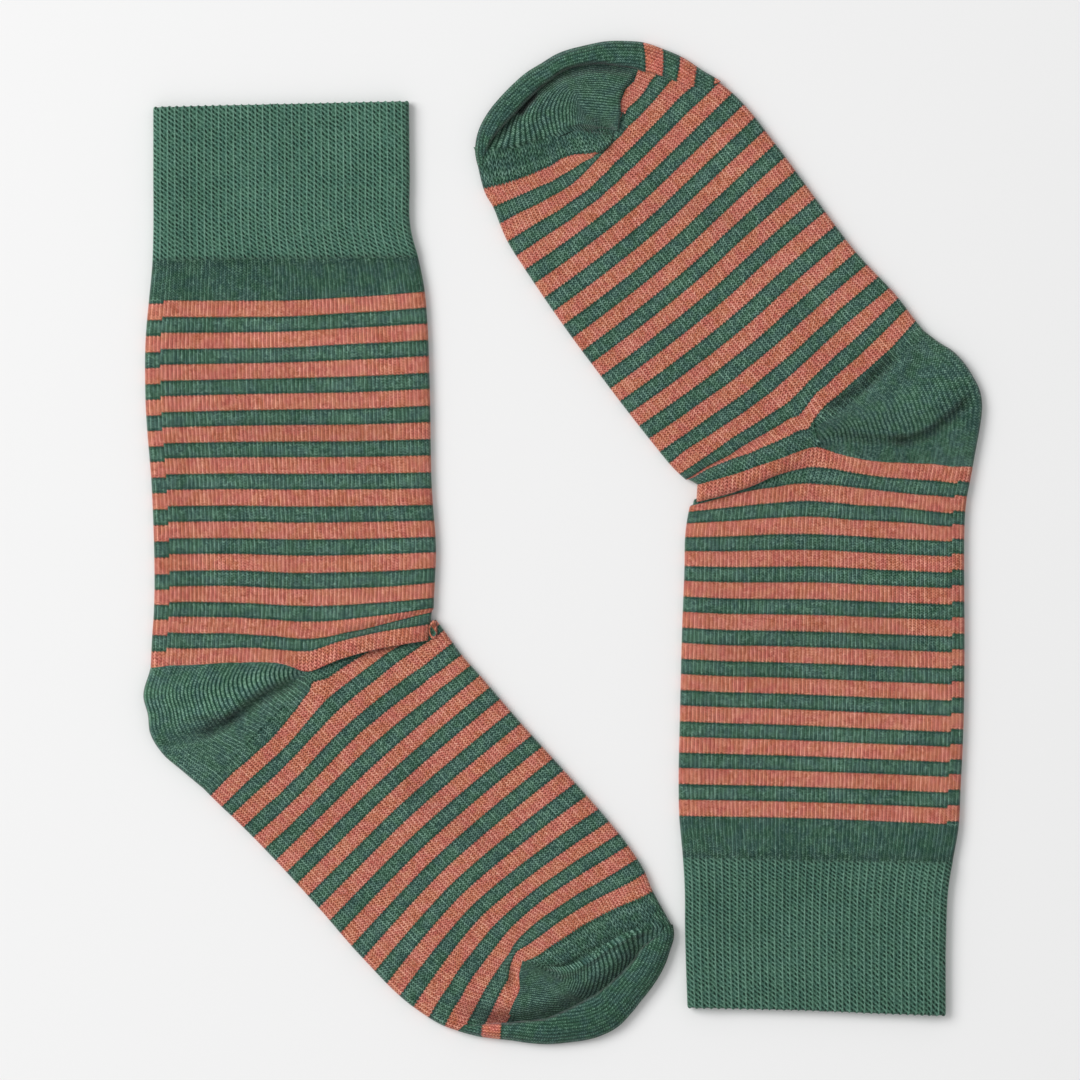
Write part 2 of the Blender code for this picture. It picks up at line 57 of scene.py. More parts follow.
leftSock = {
    "place": (-87.36, -43.30), "turn": 0,
    # stripe, backX, frontX, then the height of the course at each knot across
    "leg": (
        (-6.25, -51.7, 35.2, 191.6, 192.3, 192.8, 193.1, 193.4, 193.6),
        (-4.00, -51.7, 35.5, 167.5, 168.0, 168.4, 168.6, 168.8, 169.0),
        (-2.20, -51.7, 35.9, 149.0, 149.3, 149.6, 149.8, 149.9, 150.0),
        (-1.26, -52.0, 38.4, 139.1, 139.5, 139.8, 140.0, 140.2, 140.4),
        (0.00, -53.2, 40.6, 126.0, 125.9, 126.1, 126.9, 127.7, 129.0),
        (1.00, -54.2, 41.5, 115.0, 115.1, 115.6, 116.5, 117.2, 118.2),
        (3.00, -54.4, 42.3, 93.3, 94.0, 94.5, 94.7, 95.2, 96.0),
        (6.00, -52.2, 43.0, 61.6, 61.9, 61.7, 61.8, 61.9, 62.2),
        (8.00, -51.4, 44.4, 39.8, 39.9, 39.3, 39.5, 39.9, 40.5),
        (9.00, -51.3, 44.0, 28.8, 29.0, 27.9, 28.3, 28.8, 30.2),
        (9.50, -51.4, 43.7, 24.1, 23.7, 22.5, 22.9, 23.9, 25.3),
        (10.00, -51.6, 43.6, 18.7, 18.1, 16.8, 17.5, 19.2, 21.4),
        (10.50, -52.0, 43.0, 13.9, 13.1, 11.4, 13.7, 16.8, 20.1),
        (11.00, -52.3, 42.6, 8.2, 7.8, 6.6, 10.6, 13.6, 16.0),
        (11.50, -52.6, 42.0, 3.3, 3.2, 0.0, 5.0, 8.3, 10.8),
    ),
    # what is added to those heights near the gore: the places across in millimetres,
    # then in each row a stripe and its shifts in tenths of a millimetre
    "legBends": (
        (-52, -46, -40, -34, -28, -22, -19, -16, -13, -10, -7, -4, -1, 2, 8, 14, 20, 26, 38),
        (9.0,) + (0,) * 19,
        (9.5, -3, -4, -2, -2, -2, -2, -1, -1, -1, -1, -1, -1, -1, -2, -2, -2, -1, -2, -2),
        (10.0, 0, 0, 1, 1, 2, 3, 3, 3, 4, 4, 3, 2, 1, 1, 0, 2, 3, 2, 2),
        (10.5, -4, -4, -5, -4, -1, 0, 1, 2, 4, 6, 4, 2, -1, -4, -7, -4, -6, -4, 1),
        (11.0, -1, -2, -3, -1, 0, 5, 8, 11, 12, 12, 11, 8, 4, -2, 0, 0, 1, 2, 1),
        (11.5, -20, -13, -13, -10, -4, 3, 11, 18, 25, 29, 27, 17, 1, -7, -7, -6, -4, -3, -2),
    ),
    # stripe, along, soleAcross, instepAcross, soleLead, instepLead, instepPower
    "foot": (
        (11.50, 3.0, -52.6, 43.6, 1.2, 15.0, 1.2),
        (12.00, 7.0, -52.6, 43.9, 0.6, 11.5, 1.2),
        (12.50, 12.1, -52.5, 43.8, 0.4, 8.4, 1.6),
        (13.00, 17.2, -52.3, 43.4, 0.3, 5.8, 1.3),
        (14.00, 28.2, -52.1, 41.9, 0.0, 4.9, 1.5),
        (15.00, 38.8, -52.2, 41.4, 0.0, 3.7, 1.5),
        (17.00, 60.0, -53.0, 40.0, 0.5, 3.9, 1.5),
        (19.00, 81.1, -54.3, 39.2, 2.2, 4.3, 1.5),
        (21.00, 101.3, -53.6, 38.0, 5.8, 7.3, 1.5),
        (22.00, 111.0, -50.6, 36.9, 8.4, 8.1, 1.5),
        (23.00, 118.3, -44.0, 34.6, 12.9, 12.0, 0.9),
        (23.50, 121.0, -40.8, 32.2, 13.4, 15.5, 0.8),
        (24.00, 122.6, -38.2, 28.7, 12.0, 24.4, 1.0),
    ),
    # what is added along the foot, in the same way
    "ankleBends": (
        (-51, -41, -36, -31, -26, -21, -16, -11, -6, -1, 4, 9, 14, 19, 24, 29, 34, 39),
        (11.5,) + (0,) * 18,
        (12.0, 0, 0, 7, 9, 13, 11, 6, -4, -22, -29, -14, -16, -16, -15, -15, -15, -10, 0),
        (12.5, 4, 5, 7, 10, 13, 13, 10, 3, -5, -12, -12, -12, -13, -14, -16, -13, 0, 0),
        (13.0, -1, 3, 6, 9, 8, 8, 5, 2, -4, -8, -9, -10, -8, -9, -10, -7, -5, 0),
        (13.5, 2, 4, 9, 7, 9, 7, 4, 0, -3, -5, -5, -5, -4, -2, -1, 4, 3, 3),
        (14.0, -3, 3, 3, 4, 3, 1, 0, -3, -6, -8, -7, -7, -6, -4, -1, -3, 0, 0),
        (15.0,) + (0,) * 18,
    ),
    "toeBends": (
        (-48, -44, -40, -36, -32, -28, -24, -20, -17, -13.5, -11, -6, 0, 6, 14, 20, 28),
        (21.0,) + (0,) * 17,
        (22.0, -2, -2, 3, 1, 1, 5, 6, 7, 6, 2, -1, -4, -7, -8, -5, -4, -1),
        (22.5, -6, -6, 1, 4, 7, 11, 14, 16, 16, 6, 0, -6, -10, -9, -10, -4, -3),
        (23.0, -3, -3, -4, 7, 13, 18, 25, 8, 1, -2, -3, -8, -16, -20, -20, -15, -6),
        (23.5, -10, -10, 6, 26, 41, 46, 50, 20, 16, 14, 10, -3, -11, -20, -21, -18, -8),
        (24.0, 0, 5, 15, 25, 35, 40, 43, 20, 7, 32, 56, 65, 57, 35, 12, 5, 12),
    ),
    "vertex": -15.0,  # place across from which the courses lead towards the toe on both sides
    "jog": 0.055,  # share of the width up to which the coral rounds start lower
    # the outline of the heel: degrees round from the back of the ankle, and how far out
    "heelEdge": (
        (-3.6, 52.6), (0.4, 53.5), (8.4, 56.0), (15.4, 55.8), (21.4, 57.0),
        (29.4, 56.3), (38.4, 54.0), (47.4, 52.9), (52, 52.8),
    ),
    # share of the way from the gore point to the outer edge, x, y
    "suture": (
        (0, 0, 0), (0.12, -6.4, -3.2), (0.21, -11.2, -5.0), (0.29, -15.4, -7.3), (0.37, -19.6, -10.0),
        (0.45, -23.7, -13.4), (0.54, -28.2, -16.4), (0.68, -35.7, -18.9), (0.81, -42.5, -20.8), (1, -52.7, -22.4),
    ),
    "bow": (3.0, 0),  # how far the wales of the heel curve outward above and below the suture
    "puff": 0.27,  # the part of its turn where the heel stands highest
    "heelTone": 1.08,  # a factor on the lightness of the heel's colour
    "cuffTone": 0.96,
    "ridges": (1.2, 0.28, 0.46),  # on the heel: how strong the painted shade between standing wales is, and about which part of its turn
    # the outline of the toe: its centre, then degrees round and how far out
    "toeCentre": (125.0, -2.6),
    "toeEdge": (
        (-110, 52.9), (-100, 49.4), (-90, 45.1), (-80, 41.0), (-70, 37.9), (-60, 36.5), (-50, 35.7), (-40, 35.2),
        (-20, 35.9), (-10, 36.1), (0, 35.5), (10, 35.3), (20, 36.1), (30, 37.3), (40, 38.5), (48, 39.7),
        (54, 39.4), (60, 38.2), (70, 37.3), (80, 37.5), (90, 38.4),
    ),
    # the turned-up edge of the toe: degrees round, width, and the stripe that crosses it there
    "rim": (
        (-92, 3.5, 22.55), (-87, 4.6, 22.75), (-82.6, 5.6, 23.0), (-74.3, 6.2, 23.5), (-66, 7.2, 24.0),
        (-58, 7.9, 24.5), (-40, 10.4, 25.5), (-17, 13.2, 27.0), (10, 11.4, 28.5), (30, 10.3, 30.0),
        (42, 8.8, 30.8), (49, 5.4, 31.2), (53, 2.4, 31.5),
    ),
    "rimSlant": 0.65,  # how far its stripes lean, in degrees for each millimetre inward
    # wales of the toe pocket in five rows outward from its corner;
    # each runs from the seam over the suture to the sole
    "toePaths": (
        ((77.4, -98.8), (76.9, -98.9), (76.2, -98.9), (75.2, -98.7), (73.8, -98.2)),
        ((86.7, -101.7), (87.4, -103.4), (87.0, -105.1), (80.6, -103.4), (72.8, -102.3)),
        ((95.2, -99.3), (95.2, -105.1), (92.5, -110.8), (82.6, -108.9), (72.8, -107.8)),
        ((106.4, -92.1), (107.8, -99.6), (102.0, -111.6), (85.0, -115.6), (70.4, -113.2)),
        ((122.0, -84.8), (118.4, -94.2), (105.6, -110.6), (87.2, -119.4), (67.7, -120.0)),
    ),
    "flap": False,  # whether the end of the foot folds over the stripe before it
    "overhang": True,  # whether the end of the leg hangs over the foot
    # soft ridges and troughs of the upper side, with painted shade in the troughs and a painted highlight on the
    # ridges: width, height, points
    "creases": (
        (3.4, -1.7, ((1, -2.4), (-5.1, -4.2), (-10.2, -6.7), (-14.6, -8.9), (-18, -11.2),
                     (-21.1, -13.7), (-24.8, -16.4), (-28.2, -18.4), (-34, -20.6), (-40, -22))),
        (2.4, -0.7, ((-21, -13.5), (-27.2, -16.9), (-31.6, -17), (-35.7, -16.4), (-41, -15.8))),
        (5.0, -0.5, ((-28, -20), (-36, -22.5), (-46, -25), (-50, -26))),
        (4.6, 1.1, ((-8, -1), (-13.6, -3.4), (-20.4, -7.4), (-27.2, -12), (-35.7, -14.4), (-45.9, -16.5))),
        (6.0, 0.5, ((-30, 2), (-40, -4), (-48, -8))),
        (4.0, 0.5, ((-30, -23), (-38, -25), (-46, -27))),
        (4.5, 0.7, ((4, 15), (16, 16), (30, 19), (43, 23))),
        (3.0, -0.7, ((10, 12), (20, 14), (33, 17.5), (43, 21))),
        (7.0, 0.4, ((-44, 66), (-10, 60), (30, 66))),
        (9.0, 0.4, ((-40, 108), (0, 112), (38, 104))),
        (8.0, -0.3, ((-30, 84), (10, 80), (42, 86))),
        (6.0, 0.3, ((-50, 30), (-28, 36), (-6, 33))),
        (7.0, 0.4, ((50, -10), (60, -30), (60, -50))),
        (8.0, -0.3, ((30, -34), (52, -52), (70, -64))),
        (2.4, 1.2, ((80.5, -102.5), (86.7, -102.6), (91.8, -101), (96.9, -97.8),
                    (101, -94.6), (108.8, -90), (114.5, -88), (121, -85.6))),
        (1.6, -0.9, ((76, -98), (81.6, -100.4), (86.7, -100.4), (91.8, -98.2),
                     (100.3, -93), (110.5, -88), (117.3, -85.4))),
        (6.0, -1.9, ((50, -113), (63, -117.8), (73, -118.6), (80, -117.6), (86.7, -115), (93.5, -111.8),
                     (100.3, -108), (107, -103), (111.4, -98), (114.5, -92), (118, -84))),
        (2.5, 0.5, ((72, -98), (73.4, -103), (72.6, -110))),
        (2.2, -0.9, ((69, -99), (70.4, -103), (69.6, -108))),
    ),
}

rightSock = {
    "place": (86.04, 34.30), "turn": 180,
    "leg": (
        (-6.25, -44.2, 43.6, 194.4, 193.6, 192.6, 192.3, 192.0, 191.7),
        (-4.00, -44.3, 44.4, 168.5, 168.3, 168.0, 167.9, 167.7, 167.5),
        (-2.20, -45.2, 44.6, 150.5, 150.2, 150.0, 149.9, 149.7, 149.5),
        (-1.26, -46.6, 45.2, 142.0, 141.6, 141.2, 140.9, 140.6, 140.2),
        (0.00, -48.7, 46.4, 129.5, 128.3, 127.3, 127.0, 126.8, 126.5),
        (1.00, -49.2, 46.6, 118.8, 117.6, 116.7, 116.3, 116.0, 115.7),
        (3.00, -50.2, 46.2, 98.2, 97.1, 95.9, 95.4, 95.0, 94.4),
        (6.00, -50.6, 45.4, 65.8, 64.8, 63.9, 63.6, 63.4, 62.6),
        (8.00, -50.5, 44.6, 44.1, 43.0, 41.8, 41.9, 42.0, 41.7),
        (9.00, -50.5, 44.4, 33.6, 32.2, 30.8, 30.9, 31.6, 31.9),
        (9.50, -50.6, 43.9, 28.8, 26.8, 25.0, 25.4, 26.5, 27.4),
        (10.00, -50.8, 43.2, 23.5, 21.1, 19.2, 19.9, 21.1, 22.7),
        (10.50, -51.3, 42.6, 19.1, 16.4, 14.0, 15.2, 17.8, 21.2),
        (11.00, -52.2, 40.8, 13.6, 11.2, 7.6, 10.8, 16.3, 19.8),
        (11.50, -53.4, 40.2, 8.4, 6.7, 0.6, 5.8, 10.4, 14.4),
    ),
    "legBends": (
        (-52, -46, -40, -34, -28, -22, -19, -16, -13, -10, -7, -4, -1, 2, 8, 14, 20, 26, 38),
        (9.0,) + (0,) * 19,
        (9.5, 0, -1, 0, -2, -2, -1, 0, 2, 3, 4, 3, 2, 1, 0, 0, 1, 0, 0, -1),
        (10.0, 7, 7, 7, 5, 3, 4, 6, 9, 9, 8, 7, 7, 5, 3, 2, 3, 4, 5, 6),
        (10.5, 0, -1, -1, 2, 1, 1, 1, 2, 2, 3, 2, 2, 0, -3, -6, -2, -5, -5, 1),
        (11.0, 8, 3, 1, 3, 4, 8, 11, 13, 15, 15, 12, 10, 5, 0, -2, -2, 0, -1, 4),
        (11.5, -3, -1, -8, -6, -3, 9, 17, 24, 29, 31, 29, 19, 5, -3, -9, -9, -10, -6, -3),
    ),
    "foot": (
        (11.50, 1.4, -53.0, 40.4, 0.4, 17.6, 1.5),
        (12.00, 5.4, -53.4, 41.2, 0.2, 14.0, 1.5),
        (13.00, 16.5, -54.6, 40.8, -1.0, 8.9, 1.5),
        (15.00, 38.8, -55.2, 38.8, -2.0, 7.5, 1.5),
        (17.00, 61.6, -58.2, 36.2, -2.0, 5.8, 1.5),
        (19.00, 83.3, -61.4, 33.2, -1.0, 5.5, 1.5),
        (21.00, 104.9, -63.1, 29.2, 0.0, 6.4, 1.5),
        (22.00, 115.6, -61.3, 26.8, 1.0, 7.3, 1.5),
        (23.00, 123.0, -57.2, 22.1, 5.0, 13.0, 1.3),
        (23.50, 123.9, -54.6, 20.2, 8.3, 20.4, 1.15),
        (24.00, 124.0, -51.8, 13.0, 12.0, 26.6, 1.0),
    ),
    "ankleBends": (
        (-51, -41, -36, -31, -26, -21, -16, -11, -6, -1, 4, 9, 14, 19, 24, 29, 34, 39),
        (11.5,) + (0,) * 18,
        (12.0, 3, -3, 0, 2, 6, 9, 7, 9, 42, 44, 32, 32, 35, 32, 40, 42, 40, 30),
        (12.5, 5, 2, 2, 2, 5, 8, 6, 8, 22, 26, 19, 19, 20, 18, 13, 15, 14, 8),
        (13.0, 1, -2, -2, -2, 2, 1, 0, -3, 3, 0, 1, 2, 5, 6, 4, 2, 0, -2),
        (13.5, -5, -2, 0, 0, 0, 0, 0, -2, -2, -5, -3, -3, -1, 2, 3, 6, 8, 2),
        (14.0, -4, -3, -2, -5, -3, -4, -3, -3, -3, -3, -6, -5, -2, 0, 0, 0, 1, 0),
        (15.0,) + (0,) * 18,
    ),
    "toeBends": (
        (-54, -50, -46, -42, -38, -34, -30, -26, -22, -18, -14, -10, -6, -2, 2, 6, 10, 14, 18),
        (21.0,) + (0,) * 19,
        (22.0, -4, 1, 1, 0, 0, 0, 0, 0, 0, 2, -5, -7, -13, -13, -11, -13, -10, -7, -6),
        (22.5, 2, 6, 5, 4, 6, 6, 11, 8, 11, 8, 1, -6, -13, -18, -18, -15, -14, -10, -7),
        (23.0, 11, 9, 13, 9, 11, 20, 8, 4, 0, -2, -19, -15, -20, -20, -24, -20, -20, -19, -19),
        (23.5, 35, 35, 38, 29, 42, 34, 16, 0, -22, -32, -26, -9, -8, -22, -27, -33, -36, -39, -37),
        (24.0, 36, 36, 45, 37, 48, 32, 20, 0, 40, 56, 52, 40, 30, 18, 7, 7, 6, 20, 20),
    ),
    "vertex": -21.0,
    "jog": 0.045,
    "heelEdge": (
        (-8.5, 53.4), (-6, 53.5), (4.6, 55.3), (9.6, 56.7), (13, 57.6), (18.7, 58.2), (22.5, 57.8), (29.8, 56.8),
        (34.5, 55.7), (38.4, 54.2), (45, 52.9), (49.7, 52.6),
    ),
    "suture": (
        (0, 0, 0.8), (0.10, -5.1, -3.7), (0.19, -10.2, -5.1), (0.30, -16.0, -5.0), (0.41, -22.1, -6.5),
        (0.51, -27.2, -8.2), (0.66, -35.7, -9.0), (0.79, -42.5, -10.4), (0.90, -49.3, -13.3), (1, -55.8, -16.0),
    ),
    "bow": (1.4, 1.2),
    "puff": 0.68,
    "heelTone": 0.9,
    "cuffTone": 0.88,
    "ridges": (0.85, 0.5, 0.65),
    "toeCentre": (125.0, -18.0),
    "toeEdge": (
        (-110, 48.4), (-100, 43.9), (-90, 41.6), (-80, 39.4), (-70, 38.0), (-60, 36.2), (-50, 34.9), (-40, 33.7),
        (-20, 33.2), (-10, 33.0), (0, 33.8), (10, 34.7), (20, 36.2), (30, 38.3), (40, 40.3), (50, 41.2),
        (60, 40.7), (70, 41.0), (80, 41.9), (90, 43.8),
    ),
    "rim": (
        (-108, 7.0, 21.3), (-104, 8.2, 21.6), (-97, 8.8, 22.0), (-88.4, 9.5, 22.5), (-79.6, 9.8, 23.0),
        (-69.3, 9.4, 23.5), (-62, 8.8, 24.0), (-40, 6.4, 25.2), (-18, 5.9, 26.4), (10, 7.2, 28.0),
        (33, 7.2, 29.4), (42, 5.6, 30.0), (50, 3.6, 30.4), (56, 2.0, 30.8),
    ),
    "rimSlant": 1.0,
    "toePaths": (
        ((71.1, -106.1), (70.6, -106.3), (69.4, -106.3), (68.4, -106.2), (67.3, -106.1)),
        ((76.5, -107.4), (77.5, -109.5), (78.2, -111.9), (72.4, -111.2), (66.3, -110.8)),
        ((84.0, -107.4), (84.3, -113.9), (82.3, -119.3), (73.1, -119.3), (66.0, -118.0)),
        ((95.2, -103.0), (96.2, -112.5), (88.1, -122.4), (73.8, -126.0), (62.2, -123.8)),
        ((113.5, -99.0), (105.4, -111.8), (89.8, -126.6), (73.1, -131.4), (56.5, -128.6)),
    ),
    "flap": True,
    "overhang": False,
    "creases": (
        (2.6, -1.0, ((-6, -3.5), (-8.8, -2.9), (-15.2, -1.5), (-23.4, -1.1), (-32.5, -1.1))),
        (3.0, -1.7, ((-24, -0.5), (-32.5, -1.1), (-39.3, -3.6), (-45, -8), (-50, -12.4), (-54.5, -17.5))),
        (3.2, -1.5, ((-2, -9), (-7.8, -13.3), (-11.9, -16), (-16, -18.7),
                     (-19.4, -22.1), (-23.8, -26.2), (-29, -32))),
        (4.5, 0.9, ((-14, -13.5), (-22, -19), (-28, -24), (-33, -30))),
        (6.0, 0.8, ((-26, -9.5), (-38, -12), (-48, -19))),
        (4.0, 0.6, ((2, 26), (20, 27), (43, 30))),
        (8.0, 0.4, ((-44, 100), (-6, 108), (40, 98))),
        (7.0, -0.3, ((-48, 70), (0, 64), (40, 72))),
        (7.0, 0.3, ((-48, 42), (-20, 48), (12, 44))),
        (8.0, 0.4, ((4, -40), (30, -50), (54, -52))),
        (8.0, -0.3, ((20, -72), (44, -80), (60, -78))),
        (2.2, 0.9, ((91, -105.6), (87.7, -106.6), (84, -108), (78.2, -109.2), (72.5, -107.8))),
        (1.5, -1.1, ((89, -104), (86.7, -104.9), (82.6, -106.8), (79.9, -107.2),
                     (76.5, -106.6), (71.4, -106), (67, -105.6))),
        (1.6, -0.6, ((91, -104.4), (96, -102.4), (102, -100.4), (109, -99.4))),
        (4.0, -1.6, ((114, -97), (109, -103.5), (104.6, -108.2), (99.6, -115.4), (93.2, -120.6),
                     (86.5, -125.4), (76.5, -128.4), (66.3, -127.6), (56, -125.5))),
        (2.6, -1.8, ((101.5, -111.5), (98.6, -115.6), (95, -119.5))),
        (3.0, 0.5, ((98, -106), (95.2, -116), (88.6, -121.6), (79.9, -124.3), (69.7, -125.3))),
    ),
}


# a smooth curve through values at keys; values may hold one column for each point asked for
def smooth(keys, values, at):
    keys, at = np.asarray(keys, float), np.asarray(at, float)
    values = np.asarray(values, float)
    if values.ndim == 1:
        values = np.repeat(values[:, None], at.size, axis=1)
    slopes = np.gradient(values, keys, axis=0)
    i = np.clip(np.searchsorted(keys, at, side="right") - 1, 0, len(keys) - 2)
    each = np.arange(at.size)
    span = keys[i + 1] - keys[i]
    x = (at - keys[i]) / span
    low, rise = values[i, each], values[i + 1, each] - values[i, each]
    start, end = slopes[i, each] * span, slopes[i + 1, each] * span
    return low + x * (start + x * (3 * rise - 2 * start - end + x * (start + end - 2 * rise)))


def ramp(x, low, high):
    share = np.clip((x - low) / (high - low), 0, 1)
    return share * share * (3 - 2 * share)


def bell(x):
    return np.where(np.abs(x) < 1, 0.5 + 0.5 * np.cos(np.pi * np.clip(x, -1, 1)), 0)


def mix(a, b, share):
    return a + (b - a) * share


def column(rows, index):
    return [row[index] for row in rows]


# one column of a table as a smooth curve over its first column
def follow(rows, index, at):
    return smooth(column(rows, 0), column(rows, index), at)


# the shift in millimetres that a table gives between its rows of stripes and its places across
def bend(table, stripe, at):
    places, rows = table[0], table[1:]
    shifts = [np.interp(at, places, np.array(row[1:]) / 10) for row in rows]
    return smooth(column(rows, 0), shifts, np.clip(stripe, rows[0][0], rows[-1][0]))


def onFoot(along, across):
    sine, cosine = math.sin(footAngle), math.cos(footAngle)
    return along * cosine + across * sine, -along * sine + across * cosine


def legPlace(sock, stripe, share):
    back, front, *heights = [follow(sock["leg"], i, stripe) for i in range(1, 9)]
    x = mix(back, front, share)
    return x, smooth(acrossKnots, heights, share) + bend(sock["legBends"], stripe, x)


def footSpot(sock, stripe, share):
    columns = [follow(sock["foot"], i, stripe) for i in range(1, 7)]
    along, sole, instep, soleLead, instepLead, power = columns
    vertex = sock["vertex"]
    across = mix(sole, instep, share)
    soleOut = np.clip((vertex - across) / (vertex - sole), 0, 1)
    instepOut = np.clip((across - vertex) / (instep - vertex), 0, 1)
    along = along + soleLead * soleOut**1.5 + instepLead * instepOut**power
    return along + bend(sock["ankleBends"], stripe, across) + bend(sock["toeBends"], stripe, across), across


def footPlace(sock, stripe, share):
    past = np.clip(stripe - toeStripe, 0, None)  # a hem tucked under the toe
    along, across = footSpot(sock, np.minimum(stripe, toeStripe), share)
    x, y = onFoot(along + past * 10, across * (1 - past * 0.3))
    first = np.full_like(stripe, heelStripe)
    startX, startY = onFoot(*footSpot(sock, first, share))
    legX, legY = legPlace(sock, first, share)
    if sock["overhang"]:  # in front of the gore the foot starts hidden behind the lip of the leg
        legX, legY = legX + 2.6 * ramp(share, 0.8, 1), legY + 7.0 * ramp(share, goreShare, 1)
        pull = ramp(share, goreShare - 0.06, goreShare) * (1 - ramp(stripe, heelStripe, 12.3))
    else:
        reach = mix(0.03, 0.12, ramp(stripe, heelStripe, 12))
        pull = ramp(share, goreShare - reach, goreShare) * (1 - ramp(stripe, heelStripe, 13.6))
    return x + pull * (legX - startX), y + pull * (legY - startY)


def toeEdge(sock, turn, inset):
    reach = follow(sock["toeEdge"], 1, turn) - inset
    along, across = sock["toeCentre"]
    return along + reach * np.cos(np.radians(turn)), across + reach * np.sin(np.radians(turn))


# how far each point lies from a drawn line, and how far along it from 0 to 1
def besideLine(x, y, line):
    nearest, along = np.full(np.shape(x), 1e9), np.zeros(np.shape(x))
    lengths = [math.dist(a, b) for a, b in zip(line, line[1:])]
    done = 0
    for (x0, y0), (x1, y1), length in zip(line, line[1:], lengths):
        dx, dy = x1 - x0, y1 - y0
        t = np.clip(((x - x0) * dx + (y - y0) * dy) / length**2, 0, 1)
        away = np.hypot(x - x0 - t * dx, y - y0 - t * dy)
        along = np.where(away < nearest, (done + t * length) / sum(lengths), along)
        nearest = np.minimum(nearest, away)
        done += length
    return nearest, along


# the soft ridges and troughs, which die out at both ends, with painted shade in the troughs and a painted
# highlight on the ridges
def creases(sock, x, y):
    lift, shade = np.zeros(np.shape(x)), np.ones(np.shape(x))
    for width, height, line in sock["creases"]:
        away, along = besideLine(x, y, line)
        part = height * bell(away / width) * ramp(along, -0.02, 0.2) * (1 - ramp(along, 0.8, 1.02))
        lift += part
        # painted shade in the troughs, painted highlight on the ridges
        shade += np.where(part < 0, part * 0.30, part * 0.14)
    return lift, np.clip(shade, 0.28, 1.2)


# from 0 at the folded edge of a tube to 1 where its bend ends
def roundEdge(distance, radius):
    depth = np.clip(distance / radius, 0, 1)
    return np.sqrt(1 - (1 - depth) ** 2)


# height of a layer: below share 0 it is the lower one, and it bends round the folded edge
def layerHeight(across, distance, lift):
    rise = roundEdge(distance, layer)
    return np.where(across < 0, layer - layer * rise, layer + (layer + lift) * rise)


# the lower layer leaves the surface a little, away from the folded edges
def liftUnder(across, distance, z, fold=0):
    return np.where(across < 0, z + (0.35 + fold * 0.5) * ramp(distance, 2, 9), z)


def swell(distance):
    return 0.6 * bell((distance - 6.5) / 9)


# shares across a tube that lie closer together at its folded edges
def acrossSteps(width, step, low, high, folds=(0,)):
    spots = set(np.linspace(low, high, max(2, round((high - low) * width / step) + 1)))
    spots |= set(goreShare - np.linspace(0, 0.06, 13))  # neighbours meet closely beside the gore
    for fold in folds:
        for near in (0, 0.18, 0.55, 1.1, 1.9):
            spots |= {fold + near / width, fold - near / width}
    spots = sorted(s for s in spots if low <= s <= high)
    kept = [spots[0]]
    for spot in spots[1:]:
        if spot - kept[-1] > 0.14 / width:
            kept.append(spot)
    kept[-1] = high
    return np.array(kept)


# shares round a whole tube: the underside in wide steps, then the side that shows in fine ones
def roundSteps(width, step, low, high, folds):
    under = -acrossSteps(width, 2.4, low, high, folds)[::-1]
    return np.concatenate([under[:-1], acrossSteps(width, step, low, high, folds)])


def gridMesh(name, columns, rows, size):
    shape = bmesh.new()
    bmesh.ops.create_grid(shape, x_segments=columns, y_segments=rows, size=size)
    mesh = bpy.data.meshes.new(name)
    shape.to_mesh(mesh)
    shape.free()
    return mesh


# a grid of cloth: place(across, station) gives x, y and z in the sock's frame,
# the wale and course there, the painted light and shade on it, and how strongly painted shade shows its wales as
# ridges
def knitPiece(name, sock, across, stations, place):
    across, stations = np.asarray(across, float), np.asarray(stations, float)
    mesh = gridMesh(name, len(across) - 1, len(stations) - 1, 1)
    spots = np.empty(len(mesh.vertices) * 3)
    mesh.vertices.foreach_get("co", spots)
    spots = spots.reshape(-1, 3)
    i = np.rint((spots[:, 0] + 1) / 2 * (len(across) - 1)).astype(int)
    j = len(stations) - 1 - np.rint((spots[:, 1] + 1) / 2 * (len(stations) - 1)).astype(int)
    x, y, z, wale, course, shade, ridge = place(across[i], stations[j])
    mesh.attributes.new("Shade", "FLOAT", "POINT").data.foreach_set("value", shade + x * 0)
    mesh.attributes.new("RidgeShade", "FLOAT", "POINT").data.foreach_set("value", ridge + x * 0)
    sign = -1 if sock["turn"] else 1
    dx, dy = sock["place"]
    points = np.stack([dx + sign * x, dy + sign * y, np.maximum(z, 0)], axis=1) / 1000
    mesh.vertices.foreach_set("co", points.ravel())
    corners = np.empty(len(mesh.loops), int)
    mesh.loops.foreach_get("vertex_index", corners)
    knit = mesh.uv_layers.new(name="Knit")
    knit.data.foreach_set("uv", np.stack([wale[corners], course[corners]], axis=1).ravel())

    closed = bmesh.new()
    closed.from_mesh(mesh)
    bmesh.ops.remove_doubles(closed, verts=closed.verts, dist=2e-6)
    bmesh.ops.dissolve_degenerate(closed, edges=closed.edges, dist=1e-7)
    closed.to_mesh(mesh)
    closed.free()
    mesh.shade_smooth()
    mesh.update()
    piece = bpy.data.objects.new(name, mesh)
    bpy.context.scene.collection.objects.link(piece)
    return piece


def declare(piece, node, fabric):
    piece.data.materials.append(fabric)
    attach(piece, "root")
    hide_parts(node)


